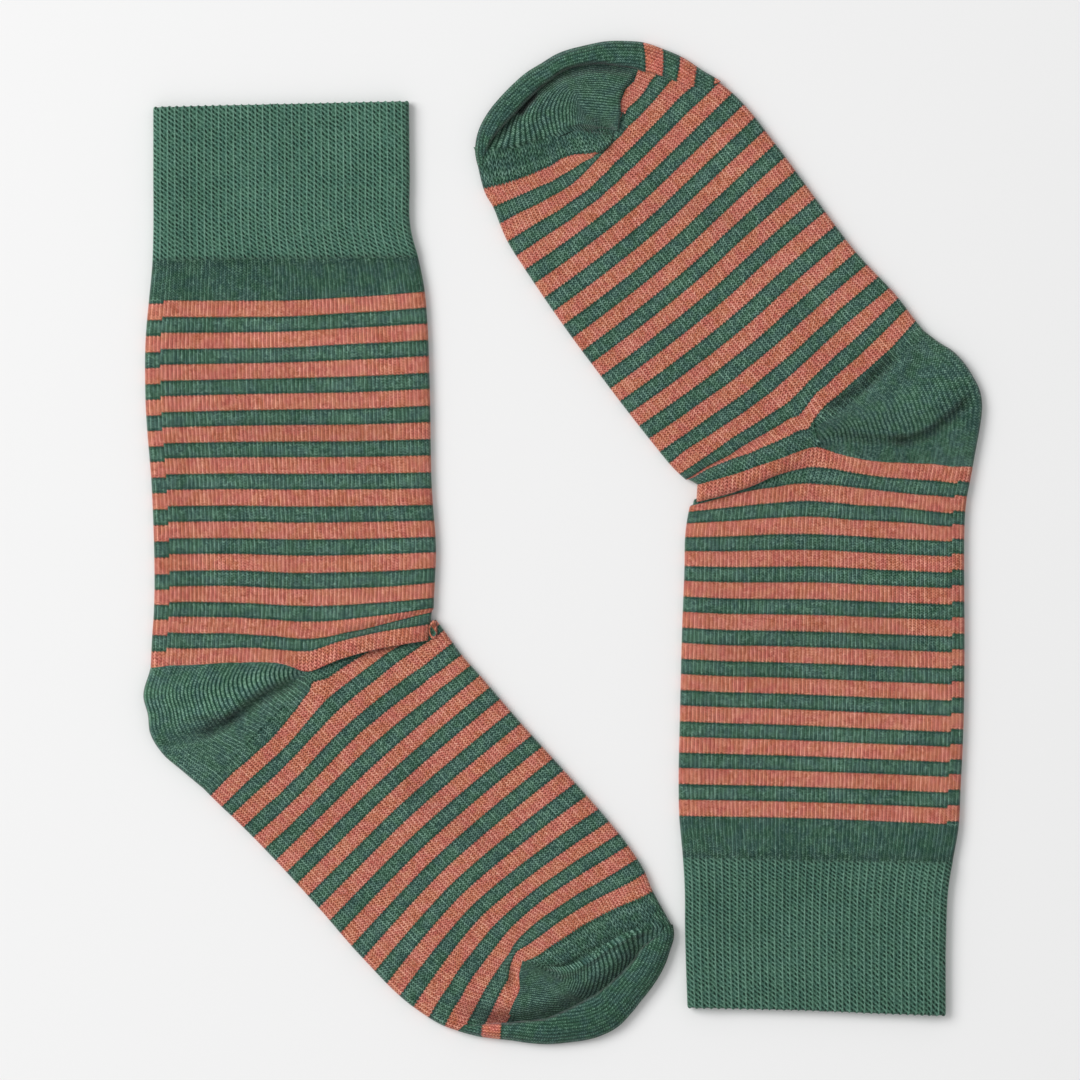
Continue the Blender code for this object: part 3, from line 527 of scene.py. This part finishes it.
class Strand:
    # one socket of a material, with its sums written as operators

    def __init__(self, tree, socket):
        self.tree, self.socket = tree, socket

    def add(self, kind, settings=(), inputs=(), output=0):
        node = self.tree.nodes.new(kind)
        for name, value in dict(settings).items():
            setattr(node, name, value)
        for name, value in dict(inputs).items():
            if isinstance(value, Strand):
                self.tree.links.new(value.socket, node.inputs[name])
            else:
                node.inputs[name].default_value = value
        return Strand(self.tree, node.outputs[output])

    def sum(self, operation, *values):
        return self.add("ShaderNodeMath", {"operation": operation}, dict(enumerate(values)))

    def __add__(self, other):
        return self.sum("ADD", self, other)

    __radd__ = __add__

    def __sub__(self, other):
        return self.sum("SUBTRACT", self, other)

    def __rsub__(self, other):
        return self.sum("SUBTRACT", other, self)

    def __mul__(self, other):
        return self.sum("MULTIPLY", self, other)

    __rmul__ = __mul__

    def __truediv__(self, other):
        return self.sum("DIVIDE", self, other)

    def __lt__(self, other):
        return self.sum("LESS_THAN", self, other)

    def __gt__(self, other):
        return self.sum("GREATER_THAN", self, other)

    def fraction(self):
        return self.sum("FRACT", self)

    def floor(self):
        return self.sum("FLOOR", self)

    def wave(self):
        return 0.5 + 0.5 * self.sum("COSINE", self * (2 * math.pi))

    def off(self):
        return self.sum("ABSOLUTE", self)

    def clamp(self):
        return self.sum("MAXIMUM", self.sum("MINIMUM", self, 1), 0)

    def blend(self, low, high):
        return self.add("ShaderNodeMix", {"data_type": "RGBA"}, {0: self, 6: low, 7: high}, 2)

    def chance(self, other):
        # an even random value for each whole number of two socket values
        pair = self.add("ShaderNodeCombineXYZ", (), {0: self.floor(), 1: other.floor()})
        return self.add("ShaderNodeTexWhiteNoise", {"noise_dimensions": "2D"}, {"Vector": pair})


def colour(red, green, blue):
    def light(c):
        c = c / 255
        return c / 12.92 if c <= 0.04045 else ((c + 0.055) / 1.055) ** 2.4
    return (light(red), light(green), light(blue), 1)


# dark, two middle tints and light of each yarn
yarns = {
    "green": (colour(12, 44, 32), colour(56, 94, 73), colour(56, 88, 82), colour(138, 176, 156)),
    "cuff": (colour(12, 44, 32), colour(70, 110, 91), colour(66, 106, 91), colour(122, 162, 143)),
    "coral": (colour(108, 48, 36), colour(190, 108, 78), colour(194, 102, 90), colour(238, 184, 160)),
}


fabricForm = {
    "noises": ((2400.0, 2.0), (230.0, 3.0), (60.0, 3.0)),  # scale and detail of the fuzz, tint and patches
    "bumpDepth": 0.00035,
    "jog": 0.1,  # in stripes
    "coralEnd": 23.6,  # the last stripe border
    "surface": {
        "Roughness": 0.9, "Specular IOR Level": 0.15, "Sheen Weight": 0.2, "Sheen Roughness": 0.5,
    },
}


# one fabric: striped or plain, as stocking stitch or as the open rib of the cuff
def knitFabric(name, striped=False, rib=False, jogShare=0):
    form = fabricForm
    material = bpy.data.materials.new(name)
    material.use_nodes = True
    tree = material.node_tree
    shader = tree.nodes["Principled BSDF"]
    uv = Strand(tree, None).add("ShaderNodeUVMap", {"uv_map": "Knit"})
    wale = uv.add("ShaderNodeSeparateXYZ", (), {0: uv})
    course = uv.add("ShaderNodeSeparateXYZ", (), {0: uv}, 1)
    shade = uv.add("ShaderNodeAttribute", {"attribute_name": "Shade"}, output=2)
    here = uv.add("ShaderNodeTexCoord", output=3)
    fuzz, tint, patchy = [
        uv.add("ShaderNodeTexNoise", (), {"Vector": here, "Scale": scale, "Detail": detail})
        for scale, detail in form["noises"]
    ]
    vee = (wale.fraction() - 0.5).off() * 2  # 0 in the middle of a wale, 1 between two
    half = wale * 2
    specks = half.chance(course + vee * 0.5)
    if rib:
        across = wale.fraction()
        upright = ((vee - 0.74) * 4.2).clamp() * (0.4 + 0.6 * (wale + 0.5).chance(course * 0.4))
        slide = wale.chance(wale * 0) * 0.35 + (tint - 0.5) * 0.9
        strand = ((course - across * 1.3 + slide).fraction() - 0.5).off() * 2  # 1 in the gap between two
        first = (1 - (across - 0.27).off() * 5.0).clamp()
        second = (1 - (across - 0.72).off() * 4.4).clamp() * 0.8
        hole = ((strand - 0.36) * 2.2).clamp() * (first + second) * (0.3 + 0.7 * specks)
        stroke = (1 - strand * 2.2).clamp() * (1 - upright) * (0.45 + 0.55 * (across < 0.55))
        height = upright * 0.5 + stroke * 0.4 - hole * 0.8 + 0.5
        # the holes are painted dark with the shade inside them
        tone = 0.44 + upright * 0.40 + stroke * 0.36 - hole * 1.1
        tone = tone + (fuzz - 0.5) * 1.0 + (patchy - 0.5) * 0.2
        yarn = "cuff"
    else:
        gap = wale + 0.5
        line = ((vee - 0.66) * 4).clamp()
        shine = gap.chance(gap * 0) * (0.35 + 0.65 * gap.chance(course * 0.3))
        stitch = (course + vee * 0.6 + half.floor() * 0.5 + half.chance(half * 0) * 0.4).wave()
        ridge = uv.add("ShaderNodeAttribute", {"attribute_name": "RidgeShade"}, output=2)
        height = (1 - vee * vee) * (0.62 + 0.38 * stitch) + shine * line * 0.4
        flat = 0.35 + (stitch - 0.5) * 0.65 * (1 - line) + line * (0.26 + shine * 0.2)
        # between wales that stand up as ridges the colour is painted darker, as the shade between them; a point
        # attribute says how strongly
        standing = 0.62 - ((vee - 0.4) * 1.9).clamp() * 0.70 + (stitch - 0.5) * 0.25
        tone = flat + (standing - flat) * ridge
        tone = tone + (specks - 0.5) * 0.26 + (fuzz - 0.5) * 0.9 + (patchy - 0.5) * 0.18
        yarn = "green"

    def dyed(dark, first, second, light):
        middle = ((tint - 0.4) * 5).clamp().blend(first, second)
        return ((tone - 0.5) * 2).clamp().blend((tone * 2).clamp().blend(dark, middle), light)

    if striped:
        # the rounds of the knitting start a little lower at one wale, and the step dies out round the back
        behind = (wale < jogShare * walesAcross) + wale.sum("MINIMUM", wale, 0) / walesAcross
        onLeg = course < (heelStripe + 0.03) * coursesPerStripe
        level = course - behind * onLeg * (form["jog"] * coursesPerStripe)
        stripe = (level + (vee - 0.5) * 0.3 + (fuzz - 0.5) * 0.7) / coursesPerStripe
        within = 0.25 - ((stripe + 0.25).fraction() - 0.5).off()  # how far inside a coral stripe
        coral = (0.5 + within * 26).clamp() * (stripe > -0.06) * (stripe < form["coralEnd"])
        striping = (course > -0.5) * (stripe < form["coralEnd"] + 0.1)
        # the green yarn is darker right beside a coral stripe and lighter between two
        tone = tone - ((1 - (within + 0.035).off() * 16).clamp() * 0.24 - 0.09) * striping - 0.09
    tone = tone.clamp()
    base = dyed(*yarns[yarn])
    if striped:
        base = coral.blend(base, dyed(*yarns["coral"]))
    # the painted light and shade of each piece scale its colour
    base = base.add("ShaderNodeVectorMath", {"operation": "SCALE"}, {0: base, "Scale": shade})
    tree.links.new(base.socket, shader.inputs["Base Color"])
    relief = height * 0.8 + fuzz * 0.3
    bump = relief.add("ShaderNodeBump", (), {"Height": relief, "Distance": form["bumpDepth"], "Strength": 0.8})
    tree.links.new(bump.socket, shader.inputs["Normal"])
    for finish, value in form["surface"].items():
        shader.inputs[finish].default_value = value
    return material


cuffForm = {
    "width": 88.0,
    "ribs": 35,  # upright wales across the side that shows
    "rows": 33,
    "stepsPerRib": 6,
    "stepsPerRow": 2,
    "rise": 0.3,
    "radius": 2.0,
    "inside": 10.0,  # how far the turned-in side is seen down the opening
    "hem": 0.8,  # half the thickness of the double edge
}


def makeCuff(side, sock, fabric):
    form = cuffForm
    width, hem = form["width"], form["hem"]
    length = (ribEnd - cuffTop) * stripePitch

    def place(across, spot):
        # spot runs from inside the opening below 0, round the edge from 0 to 1, then down in millimetres
        share = np.abs(across)
        around = np.clip(spot, 0, 1) * np.pi
        inside, outside = spot < 0, spot > 1
        down = np.where(inside, hem - spot, np.where(outside, hem + spot - 1, hem * (1 - np.sin(around))))
        skin = np.where(inside, 0, np.where(outside, 1, 0.5 - 0.5 * np.cos(around)))
        radius = mix(0.35, form["radius"], skin)
        inset = (form["radius"] - radius) / width
        x, y = legPlace(sock, cuffTop + down / stripePitch, mix(inset, 1 - inset, share))
        distance = np.minimum(share, 1 - share) * width
        rib = share * form["ribs"]
        row = down / length * form["rows"]
        wire = np.abs(rib % 1 - 0.5) * 2
        upright = ramp(wire, 0.55, 1)
        relief = form["rise"] * (upright - 0.5) * ramp(skin, 0.3, 1)
        y = y + 0.4 * upright * bell((spot - 0.6) / 0.6)
        end = ramp(down, length - 1.6, length)
        rise = roundEdge(distance, radius)
        over = form["radius"] + rise * (radius + swell(distance) * skin + relief - 1.3 * end)
        under = form["radius"] - rise * (radius - 0.5 * end)
        # painted shade towards the lower end of the cuff, where it steps down to the leg
        shade = sock["cuffTone"] - 0.14 * bell((length - down) / 2.6)
        return x, y, np.where(across < 0, under, over), rib, row, shade, 0

    stations = np.concatenate([
        -np.linspace(form["inside"], 0.6, 7), np.linspace(0, 1, 7),
        1 + np.linspace(0, length - hem, form["rows"] * form["stepsPerRow"])[1:],
    ])
    across = roundSteps(width, width / form["ribs"] / form["stepsPerRib"], 0, 1, (0, 1))
    piece = knitPiece(f"{side}Cuff", sock, across, stations, place)
    declare(piece, f"{side}_cuff", fabric)


legForm = {
    "step": 1.0,  # between the columns of its grid
    "lip": 2.4,  # how high the last stripe stands over the foot at the front of the ankle
}


# 0 behind the gore, 1 at the front of the ankle
def frontOf(share):
    return ramp(share, goreShare - 0.01, goreShare + 0.17)


# shares round a whole tube, for the grids of the leg and the foot
def tubeSteps():
    return roundSteps(tubeWidth, legForm["step"], 0, 1, (0, 1))


def makeLeg(side, sock, fabric):
    lip = legForm["lip"]

    def place(across, stripe):
        share = np.abs(across)
        front = frontOf(share)
        past = np.clip(stripe - heelStripe, 0, None) * 10  # 0 to 3 through the rows that curl back under
        x, y = legPlace(sock, np.minimum(stripe, heelStripe), share)
        distance = np.minimum(share, 1 - share) * tubeWidth
        fold, shade = creases(sock, x, y)
        lift = swell(distance) + fold * (across > 0)
        if sock["overhang"]:
            lift = lift + front * (lip * ramp(stripe, 10.35, 11.15) - 0.5 * ramp(stripe, 11.3, heelStripe))
            lift = lift - past * mix(0.45, 0.75, front)
            y = y + np.where(across > 0, front, 0.2) * (past * 0.5 + past**2 * 0.45)
        else:  # the last stripe rolls over the one before it
            tucked = bell((stripe - 10.86) / 0.16)
            lift = lift + front * (lip * ramp(stripe, 10.84, 11.2) - 0.5 * bell((stripe - 10.6) / 0.4))
            lift = lift - past * 0.6
            y = y - past * 0.3 - front * 1.8 * tucked * (across > 0)
        z = layerHeight(across, distance, lift - 0.5 * (1 - ramp(stripe, -1.4, -1.2)))
        z = liftUnder(across, distance, z, fold)
        # a painted shadow line on the leg just below the edge of the cuff
        shade = shade - 0.2 * bell((stripe + 1.15) / 0.2)
        return x, y, z, across * walesAcross, stripe * coursesPerStripe, shade, 0

    stations = np.concatenate([
        np.linspace(-1.42, 9.0, 100), np.linspace(9.0, 10.7, 28)[1:],
        np.linspace(10.7, heelStripe, 27)[1:], (11.6, 11.7, 11.8),
    ])
    piece = knitPiece(f"{side}Leg", sock, tubeSteps(), stations, place)
    declare(piece, f"{side}_leg", fabric)


heelForm = {
    "step": 0.62,  # between the columns of its grid
    "rows": 91,
    "stripes": 4.5,  # how many stripes of knitting its turn is
    "bulge": 1.2,
}


def makeHeel(side, sock, fabric):
    form = heelForm
    suture = sock["suture"]

    # the heel's outline at a turn, from the end of the leg's outer edge to that of the foot's
    def outline(turn, top, low):
        start, end = [np.arctan2(-y, -x) for x, y in (top, low)]
        angles = start, mix(start, end, turn), end
        edge = [-follow(sock["heelEdge"], 1, np.degrees(a)) * np.array((np.cos(a), np.sin(a))) for a in angles]
        return edge[1] + mix(top - edge[0], low - edge[2], turn)

    def place(across, turn):
        share = np.abs(across)
        part = share / goreShare  # 1 at the gore point
        out = 1 - part
        last, zero = np.full_like(share, heelStripe), np.zeros_like(share)
        # x and y in one array: the leg, the foot, their outer ends, the gore and the suture
        leg, foot = [np.array(find(sock, last, share)) for find in (legPlace, footPlace)]
        top, low = [np.array(find(sock, last, zero)) for find in (legPlace, footPlace)]
        gore = np.array(legPlace(sock, last, zero + goreShare))
        inner, outer = [np.array(suture[end][1:])[:, None] for end in (0, -1)]
        seam = np.array([follow(suture, i, out) for i in (1, 2)]) + (gore - inner) * part**6
        upper = turn < 0.5
        t = np.where(upper, turn * 2, turn * 2 - 1)
        spot = np.where(upper, mix(leg, seam, t), mix(seam, foot, t))
        # the outer end of every course is moved onto the outline
        tip = np.where(upper, mix(top, outer, t), mix(outer, low, t))
        x, y = spot + ramp(out, 0.25, 1.0) * (outline(turn, top, low) - tip)
        x = x - np.where(upper, sock["bow"][0], sock["bow"][1]) * np.sin(np.pi * t) * bell((out - 0.5) / 0.55)
        distance = share * tubeWidth
        puff = form["bulge"] * bell((turn - sock["puff"]) / 0.27) * bell((part - 0.3) / 0.65)
        fold, shade = creases(sock, x, y)
        z = layerHeight(across, distance, swell(distance) + puff + fold * (across > 0))
        z = liftUnder(across, distance, z)
        strength, centre, reach = sock["ridges"]
        # painted shade between the heel's wales, strongest about one part of its turn
        ridge = strength * bell((turn - centre) / reach) * mix(0.6, 1, part)
        # a painted highlight on the puffed part of the heel
        shade = shade * sock["heelTone"] + 0.16 * puff
        stripe = heelStripe + turn * form["stripes"]
        return x, y, z, across * walesAcross, stripe * coursesPerStripe, shade, ridge

    across = roundSteps(tubeWidth, form["step"], 0, goreShare, (0,))
    piece = knitPiece(f"{side}Heel", sock, across, np.linspace(0, 1, form["rows"]), place)
    declare(piece, f"{side}_heel", fabric)


footForm = {
    "flapRise": 1.9,
    "flapPlaces": (-19, -24),  # across: where the fold is highest, and the middle of what it hides
    "flapStripes": (22.94, 23.2, 23.56),  # where the hidden coral one begins, the trough, its end
}


def makeFoot(side, sock, fabric):
    high, middle = footForm["flapPlaces"]
    first, trough, final = footForm["flapStripes"]

    def place(across, stripe):
        share = np.abs(across)
        x, y = footPlace(sock, stripe, share)
        distance = np.minimum(share, 1 - share) * tubeWidth
        front = frontOf(share)
        crease, shade = creases(sock, x, y)
        lift = swell(distance) * mix(1, ramp(stripe, heelStripe, 12.5), front) + crease * (across > 0)
        if sock["overhang"]:
            lift = lift - front * 0.8 * (1 - ramp(stripe, heelStripe, 12.9))
        else:
            step = legForm["lip"] * (1 - ramp(stripe, 11.7, 12.15))
            lift = lift + front * (step - 0.7 * bell((stripe - 12.3) / 0.55))
        course = np.clip(stripe, heelStripe + 0.06, toeStripe - 0.05)
        if sock["flap"]:  # the last courses fold over the stripe before them and hide it
            beside = footSpot(sock, np.minimum(stripe, toeStripe), share)[1]
            fold = bell((beside - high) / 8) * (across > 0)
            roll = footForm["flapRise"] * ramp(stripe, 23.25, 23.6)
            roll = roll * (1 - 0.7 * ramp(stripe, 23.75, toeStripe))
            lift = lift + fold * (roll - 0.5 * bell((stripe - 23.1) / 0.3))
            hidden = (across > 0) & (np.abs(beside - middle) < 8) & (course > first) & (course < final)
            course = np.where(hidden, np.where(course < trough, first, final), course)
        past = np.clip(stripe - toeStripe, 0, None)
        z = layerHeight(across, distance, lift - past * 8)
        z = liftUnder(across, distance, z)
        return x, y, z, across * walesAcross, course * coursesPerStripe, shade, 0

    stations = np.concatenate([
        np.linspace(heelStripe, 13.5, 48), np.linspace(13.5, 22.0, 76)[1:],
        np.linspace(22.0, toeStripe, 52)[1:], (24.1,),
    ])
    piece = knitPiece(f"{side}Foot", sock, tubeSteps(), stations, place)
    declare(piece, f"{side}_foot", fabric)


toeForm = {
    "wales": 35,
    "courses": 60,
    "ridge": 0.85,  # how strongly painted shade between its wales shows them as ridges
    # the same painted shade between the wales of the turned-up edge
    "rimRidgeShade": 0.55,
    "rimWale": 1.15,  # width of a wale on the turned-up edge
    # how far in from the edge as a share of the width, then in millimetres, and how high
    "profile": (
        (1, 0.5, 2.0), (1, 0.2, 3.0), (1, -0.1, 3.9), (0.97, -0.3, 4.5), (0.88, 0, 4.8), (0.66, 0, 4.9),
        (0.42, 0, 4.7), (0.2, 0.3, 4.2), (0, 0.7, 3.3), (0, 0.15, 2.4), (0, 0, 1.6), (0, 0.2, 0.9),
        (0, 0.7, 0.35), (0, 1.6, 0),
    ),
    "under": 12,  # steps from the profile's end back to the foot
}


# the cloth that shows inside the turned-up edge of the toe
def makeToe(side, sock, fabric):
    paths = np.array(sock["toePaths"])
    knots = (0, 0.25, 0.5, 0.75, 1)

    def spot(out, along, axis):
        rows = [smooth(knots, path[:, axis], along) for path in paths]
        straight = [np.interp(along, knots, path[:, axis]) for path in paths]
        return mix(smooth(knots, straight, out), smooth(knots, rows, out), ramp(out, 0.3, 0.7))

    def place(out, along):
        tuck = np.clip(-along, 0, 1) * 40  # under the end of the foot
        along = np.clip(along, 0, 1)
        x, y = spot(out, along, 0), spot(out, along, 1)
        lift, shade = creases(sock, x, y)
        lift = lift + 0.25 - tuck * 0.45
        if sock["flap"]:
            lift = lift + 1.3 * ramp(along, 0.7, 0.93) * (1 - ramp(out, 0.7, 0.95))
            lift = lift - 0.9 * ramp(along, 0.97, 1)
        z = layerHeight(np.ones_like(out), np.full_like(out, 9), lift)
        backX, backY = onFoot(-tuck, 0)
        course = toeStripe * coursesPerStripe + along * toeForm["courses"]
        return x + backX, y + backY, z, out * toeForm["wales"], course, shade, toeForm["ridge"]

    stations = np.concatenate([(-0.05, -0.025), np.linspace(0, 1, 110)])
    piece = knitPiece(f"{side}Toe", sock, np.linspace(1, 0, 90), stations, place)
    declare(piece, f"{side}_toe", fabric)


# the turned-up edge of the toe, and the underside back to the end of the foot
def makeToeRim(side, sock, fabric):
    rim, profile, under = sock["rim"], toeForm["profile"], toeForm["under"]
    turns = column(rim, 0)
    low, high = turns[0], turns[-1]
    last = len(profile) - 1

    def place(spot, turnShare):
        turn = mix(low, high, turnShare)
        width = follow(rim, 1, turn)
        ends = mix(0.35, 1, ramp(turnShare, 0, 0.09) * (1 - ramp(turnShare, 0.9, 1)))
        rows = np.clip(spot, 0, last)
        share, more, z = [np.interp(rows, np.arange(last + 1), column(profile, i)) for i in range(3)]
        inset = share * width + more
        z = np.where(z > 3.2, 3.2 + (z - 3.2) * ends, z)  # lower towards the ends
        along, across = toeEdge(sock, turn, inset)
        # past the profile it is the underside, back to the end of the foot
        footAlong, footAcross = footSpot(sock, np.full_like(turn, toeStripe), turnShare)
        back = np.clip(spot - last, 0, None) / under
        x, y = onFoot(mix(along, footAlong, back), mix(across, footAcross, back))
        wale = inset / toeForm["rimWale"]
        stripe = np.interp(turn + inset * sock["rimSlant"], turns, column(rim, 2))
        # painted shade down the inner wall of the turned-up edge and a painted highlight on its top
        shade = np.where(rows > 6, 1, 0.6 + 0.54 * ramp(z, 2.6, 4.5))
        return x, y, z, wale, stripe * coursesPerStripe, shade, toeForm["rimRidgeShade"]

    spots = np.concatenate([np.linspace(0, last, 53), last + np.linspace(0, under, 21)[1:]])
    piece = knitPiece(f"{side}ToeRim", sock, spots, np.linspace(0, 1, 190), place)
    declare(piece, f"{side}_toe", fabric)


curlForm = {
    "centre": (43.6, 14.1),
    "halfWidths": (1.85, 1.5),
    "halfLength": 3.35,
    "height": 3.3,
    "roll": 1.6,
    "wales": 12,
    "stripes": (11.3, 11.6),  # coral and green
    # painted light: how much lighter the coral and the green of the curl are painted
    "litTones": (1.25, 1.7),
}


# the small curl of cloth where the folded leg meets the foot at the left ankle
def makeCurl(sock, fabric):
    form = curlForm
    centreX, centreY = form["centre"]
    coral, green = form["stripes"]
    coralLit, greenLit = form["litTones"]

    # an oval ring seen from above: coral cloth round it, and the green back of the cloth deep inside, both
    # painted lighter as lit, with painted shade inside the ring and a painted shadow in the gap on its right
    def place(around, out):
        angle = around * 2 * np.pi
        right = 0.5 + 0.5 * np.cos(angle)
        reach = mix(*form["halfWidths"], right) * out
        x = centreX + reach * np.cos(angle)
        y = centreY + form["halfLength"] * out * np.sin(angle)
        ring = bell((out - 0.76) / 0.42)
        roll = form["roll"] * ring * mix(1, 0.7, right)
        z = form["height"] + roll - 1.4 * ramp(out, 0.85, 1) + 0.3 * (1 - ring)
        slant = out * (np.sin(angle) + 0.6 * np.cos(angle))
        isCoral = (out > 0.64) | (slant > 0.1)
        stripe = np.where(isCoral, coral, green)
        # a painted shadow in the gap on the right of the ring
        gap = ramp(out, 0.5, 0.8) * ramp(np.cos(angle), 0.2, 0.8)
        shade = np.where(isCoral, coralLit, greenLit) - 1.0 * gap - 0.3 * bell((out - 0.6) / 0.2)
        return x, y, z, around * form["wales"], stripe * coursesPerStripe, shade, 0

    piece = knitPiece("leftCurl", sock, np.linspace(0, 1, 41), np.linspace(0, 1, 25), place)
    declare(piece, "left_leg", fabric)


tableForm = {
    "greys": (232, 238),
    "drift": 1.2,  # scale of the slow change between the two greys
    "halfSize": 3,
    "drop": 0.0002,
}


def makeStage():
    form = tableForm
    dark, light = form["greys"]
    floor = bpy.data.materials.new("paleTable")
    floor.use_nodes = True
    tree = floor.node_tree
    shader = tree.nodes["Principled BSDF"]
    here = Strand(tree, None).add("ShaderNodeTexCoord", output=3)
    drift = here.add("ShaderNodeTexNoise", (), {"Vector": here, "Scale": form["drift"], "Detail": 1.0})
    paper = drift.blend(colour(dark, dark, dark), colour(light, light, light))
    tree.links.new(paper.socket, shader.inputs["Base Color"])
    shader.inputs["Roughness"].default_value = 0.8
    mesh = gridMesh("table", 2, 2, form["halfSize"])
    table = bpy.data.objects.new("table", mesh)
    table.location.z = -form["drop"]
    bpy.context.scene.collection.objects.link(table)
    mesh.materials.append(floor)


lightForm = {
    "sky": 0.57,
    "power": 108,
    "size": (2.4, 2.0),
    "place": (-2.5, 1.1, 2.5),
}


def makeLight():
    world = bpy.data.worlds.new("studio")
    bpy.context.scene.world = world
    world.use_nodes = True
    background = world.node_tree.nodes["Background"]
    background.inputs["Color"].default_value = (1.0, 1.0, 1.0, 1)
    background.inputs["Strength"].default_value = lightForm["sky"]
    lamp = bpy.data.lights.new("window", "AREA")
    lamp.energy = lightForm["power"]
    lamp.shape = "RECTANGLE"
    lamp.size, lamp.size_y = lightForm["size"]
    window = bpy.data.objects.new("window", lamp)
    window.location = lightForm["place"]
    direction = -window.location
    window.rotation_euler = direction.to_track_quat("-Z", "Y").to_euler()
    bpy.context.scene.collection.objects.link(window)


cameraForm = {
    "sensor": 36,
    "height": 3.0,
    "viewWidth": 0.3672,
    "centre": (-0.00764, 0.00140),
}


def makeCamera():
    sensor, height = cameraForm["sensor"], cameraForm["height"]
    camera = bpy.data.cameras.new("camera")
    camera.sensor_width = sensor
    camera.lens = sensor * height / cameraForm["viewWidth"]
    camera.clip_end = 20
    holder = bpy.data.objects.new("camera", camera)
    holder.location = (*cameraForm["centre"], height)
    bpy.context.scene.collection.objects.link(holder)
    bpy.context.scene.camera = holder
    bpy.context.scene.view_settings.view_transform = "Standard"


makeStage()
makeLight()
makeCamera()
print("stage, light and camera")

cuffFabric = knitFabric("cuffRib", rib=True)
plain = knitFabric("plainKnit")
rimFabric = knitFabric("rimKnit", striped=True)
for side, sock in (("left", leftSock), ("right", rightSock)):
    striped = knitFabric(f"{side}StripedKnit", striped=True, jogShare=sock["jog"])
    makeCuff(side, sock, cuffFabric)
    makeLeg(side, sock, striped)
    makeHeel(side, sock, plain)
    makeFoot(side, sock, striped)
    makeToe(side, sock, plain)
    makeToeRim(side, sock, rimFabric)
    if sock["overhang"]:
        makeCurl(sock, striped)
    print(f"{side} sock")
